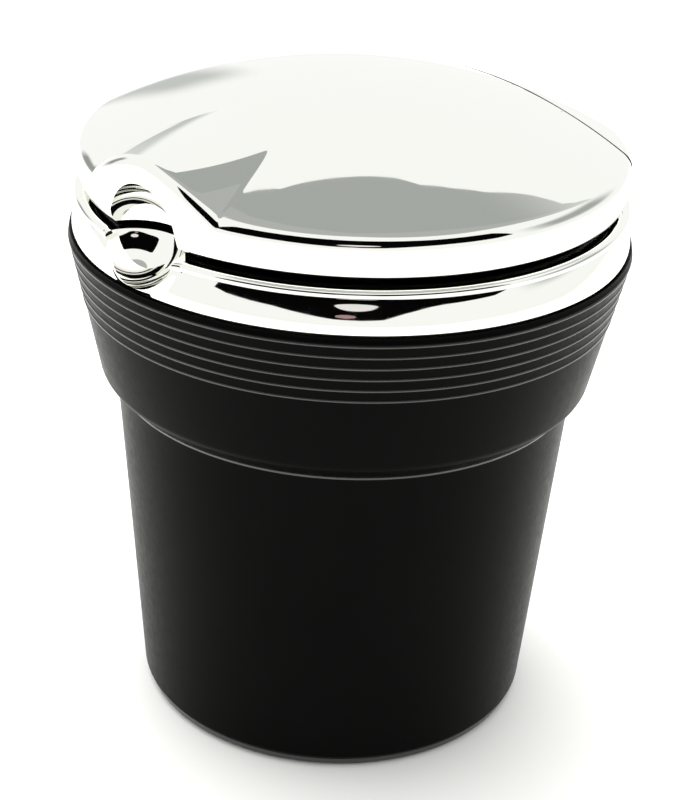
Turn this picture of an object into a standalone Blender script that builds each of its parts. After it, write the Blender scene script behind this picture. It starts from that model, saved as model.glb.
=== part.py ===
"""Car ashtray bin: a tapered black cup with a chrome-plated ring and a domed flip lid.

The thumb dish is at -Y and the lid's hinge at +Y. The cup stands on the XY plane around the Z axis.
Run with: blender --background --python part.py
"""

import math

import bpy
from mathutils import Vector

# Driving dimensions, in metres.
RIM_RADIUS = 0.0400          # chrome ring where it meets the cup
CUP_HEIGHT = 0.0746          # from the table to the top of the cup's lip
LIP_PROUD = 0.0007           # cup lip beyond the chrome ring
COLLAR_HEIGHT = 0.0212       # ribbed collar, from the lip down to its lower corner
COLLAR_TAPER = 0.0039        # how much the collar draws in from the rim to its lower corner
COLLAR_STEP = 0.0026         # how far the collar stands out from the wall below
BODY_TAPER = 0.0041          # how much the wall draws in from the collar to the foot
CUP_WALL = 0.0020
FLOOR_THICKNESS = 0.0026
FOOT_LIFT = 0.0004           # the pad stands this far below the cup's foot
FOOT_WIDTH = 0.0047          # width of the cup's foot round the pad
PAD_THICKNESS = 0.0015

RIB_COUNT = 6                # fine raised lines round the collar
RIB_PITCH = 0.00172
RIB_FIRST = 0.0012           # from the lip down to the first rib
RIB_PROUD = 0.00018
RIB_WIDTH = 0.00045

RING_HEIGHT = 0.0059         # chrome ring above the cup
BEAD_INSET = 0.0004          # ring's upper bead, inside the rim radius
SKIRT_LENGTH = 0.0060        # ring's skirt inside the cup
SKIRT_WALL = 0.0020
DECK_DROP = 0.0016           # from the ring's top down to the deck
DECK_THICKNESS = 0.0018

LID_INSET = 0.0009           # lid's side, inside the rim radius
LID_GAP = 0.0016             # dark line between the ring and the lid
LID_EDGE_INSET = 0.00085     # lid's lower edge, inside the lid radius
LID_BAND = 0.0049            # lid's upright side, from its lower edge to where the dome starts
DOME_RISE = 0.0092
LID_SHOULDER = 0.0016        # rounding between the side and the dome
LID_WALL = 0.0018

DISH_RADIUS = 0.0064         # thumb dish
DISH_WALL = 0.0018
DISH_INSET = 0.0008          # dish centre, inside the rim radius
HUMP_HALF_WIDTH = 0.0135     # teardrop hump over the dish
HUMP_LENGTH = 0.0240
HUMP_THICKNESS = 0.0062
HUMP_BACK = 0.0052           # hump's middle, in from the dish centre
HUMP_TILT = math.radians(14)

HINGE_INSET = 0.0171         # hinge axis, inside the rim radius
HINGE_DEPTH = 0.0022         # hinge axis, below the dome
CHORD_BACK = 0.0011          # lid's rear edge, behind the hinge axis
CHORD_GAP = 0.0005           # line between the lid and the hinge cover
PIN_RADIUS = 0.0006
PIN_FIT = 0.0001
PIN_HEAD_RADIUS = 0.0010
KNUCKLE_RADIUS = 0.0015
KNUCKLE_WIDTH = 0.0030
LUG_RADIUS = 0.0013
LUG_WIDTH = 0.0022
SPRING_SPAN = 0.0050         # room between the bracket's two lugs
SPRING_RADIUS = 0.00115
SPRING_WIRE = 0.0002
SPRING_TURNS = 6

FUNNEL_FLANGE = 0.0031       # flange round the hole in the deck
FUNNEL_MARGIN = 0.0006       # deck in front of the flange, up to the thumb dish's wall
FUNNEL_REAR_MARGIN = 0.0031  # deck behind the flange, up to the hinge bracket
BRACKET_FRONT = 0.0014       # bracket's plate, in front of the hinge axis
DECK_INSET = 0.0045          # the ring's upstand, inside the lid radius
FUNNEL_DEPTH = 0.0130
FUNNEL_WALL = 0.0015
REST_HEIGHT = 0.0016         # cigarette rests above the flange
REST_RADIUS = 0.0031
SLEEVE_RADIUS = 0.0072
SLEEVE_WALL = 0.0008
SLEEVE_LENGTH = 0.0100

LINER_WALL = 0.0007
LINER_FLANGE = 0.0025
SEAL_WIRE = 0.0006           # half the thickness of the round seal on the skirt
PLATE_THICKNESS = 0.0016     # lid's inner plate
PLATE_CHORD = 0.0030         # plate's straight edge, in front of the hinge axis
BUFFER_RADIUS = 0.0016
PEG_RADIUS = 0.0013
SOCKET_WALL = 0.0010

SCREW_HEAD_RADIUS = 0.0019
SCREW_HEAD_HEIGHT = 0.0013
SCREW_RADIUS = 0.0010
SCREW_LENGTH = 0.0065
POST_RADIUS = 0.0024

FIT = 0.0003                 # gap between pieces that rest on each other
LOOSE = 0.0004               # gap round pieces that slide into each other
STEPS = 48                   # facets round the large turned pieces
SMALL_STEPS = 32
TINY_STEPS = 10

# Places worked out from them.
COLLAR_LOW_RADIUS = RIM_RADIUS - COLLAR_TAPER
BASE_RADIUS = COLLAR_LOW_RADIUS - COLLAR_STEP - BODY_TAPER
PAD_RADIUS = BASE_RADIUS - FOOT_WIDTH
LID_RADIUS = RIM_RADIUS - LID_INSET
DECK_RADIUS = LID_RADIUS - DECK_INSET
DISH_OUT = RIM_RADIUS - DISH_INSET
HINGE_OUT = RIM_RADIUS - HINGE_INSET
FLANGE_FRONT = DISH_OUT - DISH_RADIUS - DISH_WALL - FUNNEL_MARGIN
FLANGE_REAR = HINGE_OUT - BRACKET_FRONT - FUNNEL_REAR_MARGIN
FUNNEL_SHIFT = (FLANGE_FRONT - FLANGE_REAR) / 2   # funnel's axis, towards the thumb dish
FUNNEL_RADIUS = (FLANGE_FRONT + FLANGE_REAR) / 2 - FUNNEL_FLANGE   # where it passes through the deck
RING_BOTTOM = CUP_HEIGHT + FIT
RING_TOP = RING_BOTTOM + RING_HEIGHT
DECK_TOP = RING_TOP - DECK_DROP
DECK_BOTTOM = DECK_TOP - DECK_THICKNESS
LID_BOTTOM = RING_TOP + LID_GAP
DOME_EDGE = LID_BOTTOM + LID_BAND
DOME_TOP = DOME_EDGE + DOME_RISE
DOME_RADIUS = (LID_RADIUS ** 2 + DOME_RISE ** 2) / (2 * DOME_RISE)
LIP_RADIUS = RIM_RADIUS + LIP_PROUD
COLLAR_LOW = CUP_HEIGHT - COLLAR_HEIGHT
SKIRT_BOTTOM = RING_BOTTOM - SKIRT_LENGTH
DISH_HEIGHT = RING_TOP + LID_GAP * 0.8
DISH_CENTRE = (0, -DISH_OUT, DISH_HEIGHT)
PLATE_BOTTOM = LID_BOTTOM + 0.0005
FUNNEL_CENTRE = (0, -FUNNEL_SHIFT, 0)
FLANGE_BOTTOM = DECK_TOP + FIT
FLANGE_TOP = FLANGE_BOTTOM + 0.0012
FUNNEL_BOTTOM = FLANGE_BOTTOM - FUNNEL_DEPTH
FUNNEL_FLOOR = FUNNEL_BOTTOM + 0.0018
LUG_END = SPRING_SPAN / 2 + LUG_WIDTH
KNUCKLE_START = LUG_END + FIT
KNUCKLE_END = KNUCKLE_START + KNUCKLE_WIDTH
BRACKET_HALF = 0.0105


def dome_height(radius):
    """Height of the lid's dome above the table at this distance from the cup's axis."""
    return DOME_TOP - DOME_RADIUS + math.sqrt(DOME_RADIUS ** 2 - radius ** 2)


HINGE_HEIGHT = dome_height(HINGE_OUT) - HINGE_DEPTH


def material(name, colour, roughness, metallic=0.0):
    """A Principled material in one colour."""
    made = bpy.data.materials.new(name)
    made.use_nodes = True
    shader = made.node_tree.nodes["Principled BSDF"]
    shader.inputs["Base Color"].default_value = (*colour, 1.0)
    shader.inputs["Roughness"].default_value = roughness
    shader.inputs["Metallic"].default_value = metallic
    return made


def collection(name):
    made = bpy.data.collections.new(name)
    bpy.context.scene.collection.children.link(made)
    return made


def place(obj, finish=None):
    """Puts an object among the parts, or among the cutters if it has no finish."""
    for holder in list(obj.users_collection):
        holder.objects.unlink(obj)
    if finish is None:
        CUTTERS.objects.link(obj)
        obj.hide_render = True
        obj.display_type = "WIRE"
    else:
        PARTS.objects.link(obj)
        obj.data.materials.append(finish)
    return obj


def rounded(points, arc_steps=2):
    """The points of a profile, with an arc where a point's third number gives a corner radius."""
    made = []
    for index, point in enumerate(points):
        if len(point) == 2:
            made.append(point)
            continue
        corner = Vector(point[:2])
        before = (Vector(points[index - 1][:2]) - corner).normalized()
        after = (Vector(points[(index + 1) % len(points)][:2]) - corner).normalized()
        half = before.angle(after) / 2
        centre = corner + (before + after).normalized() * point[2] / math.sin(half)
        start = corner + before * point[2] / math.tan(half) - centre
        turn = (math.pi - 2 * half) * (1 if after.cross(before) > 0 else -1)
        for step in range(arc_steps + 1):
            angle = turn * step / arc_steps
            swung = Vector((start.x * math.cos(angle) - start.y * math.sin(angle),
                            start.x * math.sin(angle) + start.y * math.cos(angle)))
            made.append(tuple(centre + swung))
    return made


def turned(name, profile, finish=None, steps=STEPS, at=(0, 0, 0), ring=False):
    """A turned piece. The profile of (radius, height) runs down its outer side; a ring's closes on itself."""
    mesh = bpy.data.meshes.new(name)
    edges = [(i, i + 1) for i in range(len(profile) - 1)]
    if ring:
        edges.append((len(profile) - 1, 0))
    mesh.from_pydata([(radius, 0, height) for radius, height in profile], edges, [])
    obj = bpy.data.objects.new(name, mesh)
    obj.location = at
    screw = obj.modifiers.new("Turn", "SCREW")
    screw.steps = screw.render_steps = steps
    screw.use_merge_vertices = True
    screw.merge_threshold = 0.00001
    screw.use_smooth_shade = False
    return place(obj, finish)


def block(name, low, high, finish=None):
    """A box between two opposite corners."""
    bpy.ops.mesh.primitive_cube_add(size=1)
    obj = bpy.context.object
    obj.name = obj.data.name = name
    obj.data.transform(
        [[high[0] - low[0], 0, 0, 0], [0, high[1] - low[1], 0, 0],
         [0, 0, high[2] - low[2], 0], [0, 0, 0, 1]])
    obj.location = [(a + b) / 2 for a, b in zip(low, high)]
    return place(obj, finish)


def rod(name, radius, start, end, finish=None, steps=TINY_STEPS):
    """A cylinder between two points on an upright or a cross-wise line."""
    start, end = Vector(start), Vector(end)
    bpy.ops.mesh.primitive_cylinder_add(vertices=steps, radius=radius, depth=(end - start).length)
    obj = bpy.context.object
    obj.name = obj.data.name = name
    obj.location = (start + end) / 2
    obj.rotation_euler = (end - start).to_track_quat("Z", "Y").to_euler()
    return place(obj, finish)


def ball(name, radius, at, scale=(1, 1, 1), tilt=0.0, segments=26, rings=14):
    """A ball or an ellipsoid, used as a cutter or a filler."""
    bpy.ops.mesh.primitive_uv_sphere_add(segments=segments, ring_count=rings, radius=radius)
    obj = bpy.context.object
    obj.name = obj.data.name = name
    obj.data.transform(
        [[scale[0], 0, 0, 0], [0, scale[1], 0, 0], [0, 0, scale[2], 0], [0, 0, 0, 1]])
    obj.location = at
    obj.rotation_euler = (tilt, 0, 0)
    return place(obj)


def combine(obj, other, operation):
    """Adds a Boolean modifier: UNION, DIFFERENCE or INTERSECT."""
    boolean = obj.modifiers.new(operation.title() + " " + other.name, "BOOLEAN")
    boolean.object = other
    boolean.operation = operation
    boolean.solver = "EXACT"
    return obj


def cut(obj, *others):
    for other in others:
        combine(obj, other, "DIFFERENCE")
    return obj


def join(obj, *others):
    for other in others:
        combine(obj, other, "UNION")
    return obj


def hang(parent, *pieces):
    """Parents pieces to an empty on their joint's axis, where they are."""
    bpy.context.view_layer.update()
    for piece in pieces:
        piece.parent = parent
        piece.matrix_parent_inverse = parent.matrix_world.inverted()


def joint_empty(name, at):
    empty = bpy.data.objects.new(name, None)
    empty.location = at
    empty.empty_display_size = 0.01
    PARTS.objects.link(empty)
    return empty


def collar_radius(height):
    """Radius of the collar's plain outer side at this height."""
    share = (height - COLLAR_LOW) / COLLAR_HEIGHT
    return COLLAR_LOW_RADIUS + (LIP_RADIUS - COLLAR_LOW_RADIUS) * share


def mouth_radius(height):
    """Radius of the cup's inner side at this height in the collar."""
    share = (height - COLLAR_LOW) / COLLAR_HEIGHT
    low = COLLAR_LOW_RADIUS - CUP_WALL
    return low + (LIP_RADIUS - LIP_PROUD / 2 - CUP_WALL - low) * share


SKIRT_RADIUS = mouth_radius(SKIRT_BOTTOM) - LOOSE


def rib_points():
    """Outline of the raised lines on the collar, from the top down."""
    points = []
    for index in range(RIB_COUNT):
        middle = CUP_HEIGHT - RIB_FIRST - index * RIB_PITCH
        for height, proud in ((middle + RIB_WIDTH / 2, 0), (middle, RIB_PROUD),
                              (middle - RIB_WIDTH / 2, 0)):
            points.append((collar_radius(height) + proud, height))
    return points


def make_cup():
    wall_top_radius = COLLAR_LOW_RADIUS - COLLAR_STEP
    shoulder = COLLAR_LOW - COLLAR_STEP
    inner_shoulder = COLLAR_LOW
    inner_top = wall_top_radius - CUP_WALL
    recess = FOOT_LIFT + PAD_THICKNESS
    floor = recess + FLOOR_THICKNESS - FOOT_LIFT
    outside = [(LIP_RADIUS, CUP_HEIGHT, 0.0003)] + rib_points() + [
        (COLLAR_LOW_RADIUS, COLLAR_LOW, 0.0022),
        (wall_top_radius, shoulder, 0.0008),
        (BASE_RADIUS, FOOT_LIFT, 0.0010),
    ]
    under = [
        (PAD_RADIUS + FIT, FOOT_LIFT),
        (PAD_RADIUS + FIT, recess),
        (0, recess),
    ]
    inside = [
        (0, floor),
        (BASE_RADIUS - CUP_WALL, floor),
        (inner_top, inner_shoulder),
        (mouth_radius(inner_shoulder), inner_shoulder),
        (mouth_radius(CUP_HEIGHT), CUP_HEIGHT),
    ]
    profile = rounded(inside + outside + under)
    cup = turned("outer_cup", profile, BLACK_PLASTIC)
    pad = turned("base_pad", rounded([(0, PAD_THICKNESS), (PAD_RADIUS, PAD_THICKNESS),
                                      (PAD_RADIUS, 0, 0.0004), (0, 0)]), RUBBER, SMALL_STEPS)
    liner_bottom = floor + FIT
    liner_shelf = inner_shoulder + FIT
    bottom_radius = BASE_RADIUS - CUP_WALL - LOOSE
    neck = inner_top - LOOSE
    liner = turned("ash_liner", rounded([
        (0, liner_bottom + LINER_WALL),
        (bottom_radius - LINER_WALL, liner_bottom + LINER_WALL),
        (neck - LINER_WALL, liner_shelf + LINER_WALL),
        (neck + LINER_FLANGE - LOOSE, liner_shelf + LINER_WALL),
        (neck + LINER_FLANGE - LOOSE, liner_shelf),
        (neck, liner_shelf),
        (bottom_radius, liner_bottom),
        (0, liner_bottom),
    ]), STEEL, SMALL_STEPS)
    return cup, pad, liner


def ring_outline():
    """Outer side of the chrome ring, from its top edge to its foot: bead, neck and flare."""
    bead = RIM_RADIUS - BEAD_INSET
    return [
        (LID_RADIUS - 0.0018, RING_TOP, 0.0004),
        (bead, RING_TOP - 0.0008, 0.0007),
        (bead - 0.0002, RING_TOP - 0.0019, 0.0004),
        (bead - 0.0009, RING_TOP - 0.0023, 0.0003),
        (RIM_RADIUS - 0.0002, RING_BOTTOM + 0.0016, 0.0016),
        (RIM_RADIUS, RING_BOTTOM),
    ]


def make_ring():
    seal_height = SKIRT_BOTTOM + 0.0030
    seal_middle = mouth_radius(seal_height - SEAL_WIRE) - FIT - SEAL_WIRE
    seat = seal_middle - SEAL_WIRE - FIT / 2
    inner = SKIRT_RADIUS - SKIRT_WALL
    ring = turned("chrome_ring", rounded([
        (0, DECK_TOP), (DECK_RADIUS, DECK_TOP), (DECK_RADIUS, RING_TOP),
    ] + ring_outline() + [
        (SKIRT_RADIUS, RING_BOTTOM),
        (SKIRT_RADIUS, seal_height + SEAL_WIRE + FIT / 2),
        (seat, seal_height + SEAL_WIRE + FIT / 2),
        (seat, seal_height - SEAL_WIRE - FIT / 2),
        (SKIRT_RADIUS, seal_height - SEAL_WIRE - FIT / 2),
        (SKIRT_RADIUS, SKIRT_BOTTOM),
        (inner, SKIRT_BOTTOM), (inner, DECK_BOTTOM), (0, DECK_BOTTOM),
    ]), CHROME)
    filler = turned("ring_dish_filler", [
        (0, RING_TOP), (RIM_RADIUS - 0.0016, RING_TOP), (RIM_RADIUS - 0.0016, RING_BOTTOM + 0.0003),
        (0, RING_BOTTOM + 0.0003)])
    combine(filler, ball("ring_dish_wall", DISH_RADIUS + DISH_WALL, DISH_CENTRE), "INTERSECT")
    join(ring, filler)
    for index, (x, y) in enumerate(BRACKET_SCREWS, 1):
        join(ring, rod(f"ring_boss_{index}", 0.0026, (x, y, DECK_BOTTOM + 0.0006),
                       (x, y, DECK_BOTTOM - 0.0040)))
    cut(ring, ball("ring_dish", DISH_RADIUS, DISH_CENTRE))
    hole = FUNNEL_RADIUS + LOOSE
    cut(ring, rod("funnel_hole", hole, (0, -FUNNEL_SHIFT, DECK_BOTTOM - 0.002),
                  (0, -FUNNEL_SHIFT, RING_TOP + 0.002), steps=SMALL_STEPS))
    for index, (x, y) in enumerate(BRACKET_SCREWS + COVER_SCREWS, 1):
        cut(ring, rod(f"ring_screw_hole_{index}", SCREW_RADIUS + LOOSE, (x, y, DECK_BOTTOM - 0.006),
                      (x, y, RING_TOP + 0.002)))
    seal = turned("skirt_seal", [
        (seal_middle + SEAL_WIRE * math.sin(angle), seal_height + SEAL_WIRE * math.cos(angle))
        for angle in [math.tau * step / 6 for step in range(6)]
    ], RUBBER, SMALL_STEPS, ring=True)
    return ring, seal


def make_funnel():
    rest_top = FLANGE_TOP + REST_HEIGHT
    outer_flange = FUNNEL_RADIUS + FUNNEL_FLANGE
    bowl = FUNNEL_RADIUS - FUNNEL_WALL
    mouth = SLEEVE_RADIUS + LOOSE
    sleeve_seat = SLEEVE_RADIUS + 0.0046
    funnel = turned("ash_funnel", [
        (mouth, FUNNEL_FLOOR), (sleeve_seat, FUNNEL_FLOOR),
        (bowl, FLANGE_BOTTOM - 0.0009), (bowl, rest_top), (FUNNEL_RADIUS + 0.0006, rest_top),
        (FUNNEL_RADIUS + 0.0006, FLANGE_TOP), (outer_flange, FLANGE_TOP), (outer_flange, FLANGE_BOTTOM),
        (FUNNEL_RADIUS, FLANGE_BOTTOM), (FUNNEL_RADIUS, FLANGE_BOTTOM - 0.0022),
        (sleeve_seat + 0.0006, FUNNEL_BOTTOM), (mouth, FUNNEL_BOTTOM),
    ], HEAT_PLASTIC, SMALL_STEPS, FUNNEL_CENTRE, ring=True)
    for index in range(3):
        angle = math.radians(90 + 120 * index)
        middle = FUNNEL_RADIUS - 0.0004
        reach = 0.0021
        low = Vector((math.cos(angle), math.sin(angle), 0)) * (middle - reach - 0.001)
        high = Vector((math.cos(angle), math.sin(angle), 0)) * (middle + reach - 0.0008)
        lift = Vector((0, -FUNNEL_SHIFT, rest_top + 0.0008))
        cut(funnel, rod(f"rest_{index + 1}", REST_RADIUS, low + lift, high + lift, steps=20))
    flange = SLEEVE_RADIUS + 0.0036
    seat = FUNNEL_FLOOR + FIT
    sleeve = turned("snuff_sleeve", [
        (SLEEVE_RADIUS - SLEEVE_WALL, seat + SLEEVE_WALL), (flange, seat + SLEEVE_WALL), (flange, seat),
        (SLEEVE_RADIUS, seat), (SLEEVE_RADIUS, seat - SLEEVE_LENGTH),
        (SLEEVE_RADIUS - SLEEVE_WALL, seat - SLEEVE_LENGTH),
    ], STEEL, 28, FUNNEL_CENTRE, ring=True)
    return funnel, sleeve


def lid_outline(bottom):
    """Outer side of the lid and of the hinge cover, from the top of the dome down to this height."""
    arc = [(LID_RADIUS * share, dome_height(LID_RADIUS * share)) for share in
           (0, 0.12, 0.25, 0.38, 0.5, 0.62, 0.74, 0.85)]
    return arc + [
        (LID_RADIUS, DOME_EDGE, LID_SHOULDER),
        (LID_RADIUS, LID_BOTTOM + 0.0014, 0.0010),
        (LID_RADIUS - LID_EDGE_INSET, LID_BOTTOM),
    ] + ([(LID_RADIUS - LID_EDGE_INSET, bottom)] if bottom < LID_BOTTOM else []) + [(0, bottom)]


def lid_hollow(name, bottom):
    """The space under the lid's skin, used as a cutter."""
    radius = LID_RADIUS - LID_WALL
    arc = [(radius * share, dome_height(radius * share) - LID_WALL * 1.03) for share in
           (0, 0.25, 0.5, 0.75, 1)]
    return turned(name, arc + [(radius, bottom), (0, bottom)])


def roll(name, clearance, steps=32):
    """The lid's rolled rear edge: a spindle round the hinge axis that reaches the edge of the dome."""
    back = HINGE_OUT + CHORD_BACK
    end_radius = math.sqrt(DOME_RADIUS ** 2 - (HINGE_HEIGHT - DOME_TOP + DOME_RADIUS) ** 2)
    end = math.sqrt(end_radius ** 2 - back ** 2)
    profile = [(0, end + clearance)]
    for share in range(6, -7, -1):
        x = end * math.sin(math.pi / 2 * share / 6)
        over_axis = dome_height(math.hypot(HINGE_OUT, x)) - HINGE_HEIGHT
        over_edge = max(dome_height(math.hypot(back, x)) - HINGE_HEIGHT, 0)
        profile.append((max(over_axis, math.hypot(CHORD_BACK, over_edge)) + clearance,
                        x + clearance * (share == 6) - clearance * (share == -6)))
    profile.append((0, -end - clearance))
    obj = turned(name, profile, steps=steps, at=(0, HINGE_OUT, HINGE_HEIGHT))
    obj.rotation_euler = (0, math.pi / 2, 0)
    return obj


def make_lid():
    low = LID_BOTTOM - 0.002
    lid = turned("lid_shell", rounded(lid_outline(LID_BOTTOM)), CHROME)
    hump = ball("lid_hump", 1.0, (0, -DISH_OUT + HUMP_BACK, DISH_HEIGHT + 0.0036),
                (HUMP_HALF_WIDTH, HUMP_LENGTH, HUMP_THICKNESS), HUMP_TILT, 32, 16)
    combine(hump, rod("hump_trim", LID_RADIUS + 0.0003, (0, 0, LID_BOTTOM + 0.0018),
                      (0, 0, DOME_TOP + 0.01), steps=STEPS), "INTERSECT")
    join(lid, hump)
    hollow = lid_hollow("lid_hollow", low)
    cut(hollow, ball("lid_dish_wall", DISH_RADIUS + DISH_WALL, DISH_CENTRE))
    for index, (x, y) in enumerate(LID_SCREWS, 1):
        cut(hollow, rod(f"lid_post_{index}", POST_RADIUS,
                        (x, y, PLATE_BOTTOM + PLATE_THICKNESS + FIT), (x, y, DOME_TOP)))
    cut(lid, hollow)
    cut(lid, block("lid_rear_trim", (-0.06, HINGE_OUT + CHORD_BACK, low), (0.06, 0.06, DOME_TOP + 0.01)))
    rear = block("lid_rear_round", (-0.03, HINGE_OUT, HINGE_HEIGHT), (0.03, 0.05, DOME_TOP + 0.005))
    cut(rear, roll("lid_roll", 0))
    cut(lid, rear)
    hinge_line = (HINGE_OUT, HINGE_HEIGHT)
    cut(lid, rod("lid_hinge_slot", LUG_RADIUS + FIT, (-KNUCKLE_START, *hinge_line),
                 (KNUCKLE_START, *hinge_line), steps=16))
    pin_end = KNUCKLE_END + 0.0016
    cut(lid, rod("lid_pin_end_room", PIN_HEAD_RADIUS + FIT, (-pin_end, *hinge_line), (pin_end, *hinge_line)))
    channel = SPRING_SPAN / 2
    cut(lid, block("lid_spring_channel", (-channel, HINGE_OUT - 0.0062, HINGE_HEIGHT - 0.002),
                   (channel, HINGE_OUT - 0.0002, HINGE_HEIGHT + SPRING_RADIUS + FIT)))
    for side in (-1, 1):
        name = "left" if side < 0 else "right"
        inner, outer = sorted((side * KNUCKLE_START, side * KNUCKLE_END))
        knuckle = rod(f"lid_knuckle_{name}", KNUCKLE_RADIUS, (inner, *hinge_line), (outer, *hinge_line),
                      steps=16)
        web = block(f"lid_knuckle_web_{name}",
                    (inner + 0.0002, HINGE_OUT - 0.0034, HINGE_HEIGHT - KNUCKLE_RADIUS * 0.7),
                    (outer - 0.0002, HINGE_OUT, HINGE_HEIGHT + 0.0011))
        join(lid, knuckle, web)
    cut(lid, ball("lid_dish", DISH_RADIUS, DISH_CENTRE))
    for index, (x, y) in enumerate(LID_SCREWS, 1):
        cut(lid, rod(f"lid_pilot_{index}", SCREW_RADIUS + LOOSE, (x, y, low), (x, y, LID_BOTTOM + 0.0078)))
    reach = KNUCKLE_END + 0.001
    cut(lid, rod("lid_pin_hole", PIN_RADIUS + PIN_FIT, (-reach, *hinge_line), (reach, *hinge_line)))
    return lid


def make_cover():
    bottom = RING_TOP + FIT
    cover = turned("hinge_cover", rounded(lid_outline(bottom)), CHROME)
    hollow = lid_hollow("cover_hollow", bottom - 0.002)
    for index, (x, y) in enumerate(COVER_SCREWS, 1):
        cut(hollow, rod(f"cover_post_{index}", POST_RADIUS, (x, y, bottom - 0.004), (x, y, DOME_TOP)))
    cut(cover, hollow)
    front = block("cover_front_trim", (-0.06, -0.06, bottom - 0.002),
                  (0.06, HINGE_OUT + CHORD_BACK + CHORD_GAP, DOME_TOP + 0.01))
    cut(cover, front, roll("cover_roll_room", CHORD_GAP))
    for index, (x, y) in enumerate(COVER_SCREWS, 1):
        cut(cover, rod(f"cover_pilot_{index}", SCREW_RADIUS + LOOSE, (x, y, bottom - 0.005),
                       (x, y, bottom + 0.0042)))
    return cover


def make_bracket():
    plate_low = DECK_TOP + FIT
    plate_high = plate_low + 0.0016
    bracket = block("hinge_bracket", (-BRACKET_HALF, HINGE_OUT - BRACKET_FRONT, plate_low),
                    (BRACKET_HALF, HINGE_OUT + 0.0066, plate_high), STEEL)
    for side in (-1, 1):
        name = "left" if side < 0 else "right"
        ends = sorted((side * SPRING_SPAN / 2, side * LUG_END))
        lug = rod(f"lug_{name}", LUG_RADIUS, (ends[0], HINGE_OUT, HINGE_HEIGHT),
                  (ends[1], HINGE_OUT, HINGE_HEIGHT), steps=16)
        web = block(f"lug_web_{name}", (ends[0] + 0.0001, HINGE_OUT - 0.0011, plate_low + 0.0004),
                    (ends[1] - 0.0001, HINGE_OUT + 0.0011, HINGE_HEIGHT))
        gusset = block(f"lug_gusset_{name}", (ends[0] + 0.0005, HINGE_OUT, plate_low + 0.0006),
                       (ends[1] - 0.0005, HINGE_OUT + 0.0036, HINGE_HEIGHT - 0.0050))
        join(bracket, lug, web, gusset)
    cut(bracket, rod("bracket_pin_hole", PIN_RADIUS + PIN_FIT, (-0.03, HINGE_OUT, HINGE_HEIGHT),
                     (0.03, HINGE_OUT, HINGE_HEIGHT)))
    for index, (x, y) in enumerate(BRACKET_SCREWS, 1):
        cut(bracket, rod(f"bracket_screw_hole_{index}", SCREW_RADIUS + LOOSE, (x, y, plate_low - 0.001),
                         (x, y, plate_high + 0.001)))
    head = KNUCKLE_END + FIT
    pin = turned("hinge_pin", [
        (0, head + 0.0006), (PIN_HEAD_RADIUS, head + 0.0006), (PIN_HEAD_RADIUS, head), (PIN_RADIUS, head),
        (PIN_RADIUS, -head - 0.0009), (0, -head - 0.0009),
    ], STEEL, TINY_STEPS, (0, HINGE_OUT, HINGE_HEIGHT))
    clip = turned("pin_clip", [
        (PIN_RADIUS + PIN_FIT, -head), (PIN_HEAD_RADIUS, -head), (PIN_HEAD_RADIUS, -head - 0.0005),
        (PIN_RADIUS + PIN_FIT, -head - 0.0005),
    ], STEEL, TINY_STEPS, (0, HINGE_OUT, HINGE_HEIGHT), ring=True)
    for piece in (pin, clip):
        piece.rotation_euler = (0, math.pi / 2, 0)
    return bracket, pin, clip, plate_high


def make_spring(plate_high):
    """Torsion spring round the pin: one leg stands on the bracket, the other lies under the dome."""
    span = SPRING_SPAN - 2 * FIT - 2 * SPRING_WIRE - 0.0004
    points_a_turn = 8
    count = SPRING_TURNS * points_a_turn
    points = [(-span / 2, HINGE_OUT + 0.0003, plate_high + FIT + SPRING_WIRE),
              (-span / 2, HINGE_OUT + 0.0003, HINGE_HEIGHT - SPRING_RADIUS - 0.0010)]
    for step in range(count + 1):
        share = step / count
        angle = -math.pi / 2 - math.tau * (SPRING_TURNS + 0.5) * share
        points.append((span * (share - 0.5), HINGE_OUT - SPRING_RADIUS * math.cos(angle),
                       HINGE_HEIGHT + SPRING_RADIUS * math.sin(angle)))
    points.append((span / 2, HINGE_OUT - 0.0040, HINGE_HEIGHT + SPRING_RADIUS - 0.0004))
    points.append((span / 2, HINGE_OUT - 0.0060, HINGE_HEIGHT + SPRING_RADIUS))
    curve = bpy.data.curves.new("torsion_spring", "CURVE")
    curve.dimensions = "3D"
    curve.bevel_depth = SPRING_WIRE
    curve.bevel_resolution = 1
    curve.use_fill_caps = True
    spline = curve.splines.new("POLY")
    spline.points.add(len(points) - 1)
    for point, place_at in zip(spline.points, points):
        point.co = (*place_at, 1)
    return place(bpy.data.objects.new("torsion_spring", curve), STEEL)


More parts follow.
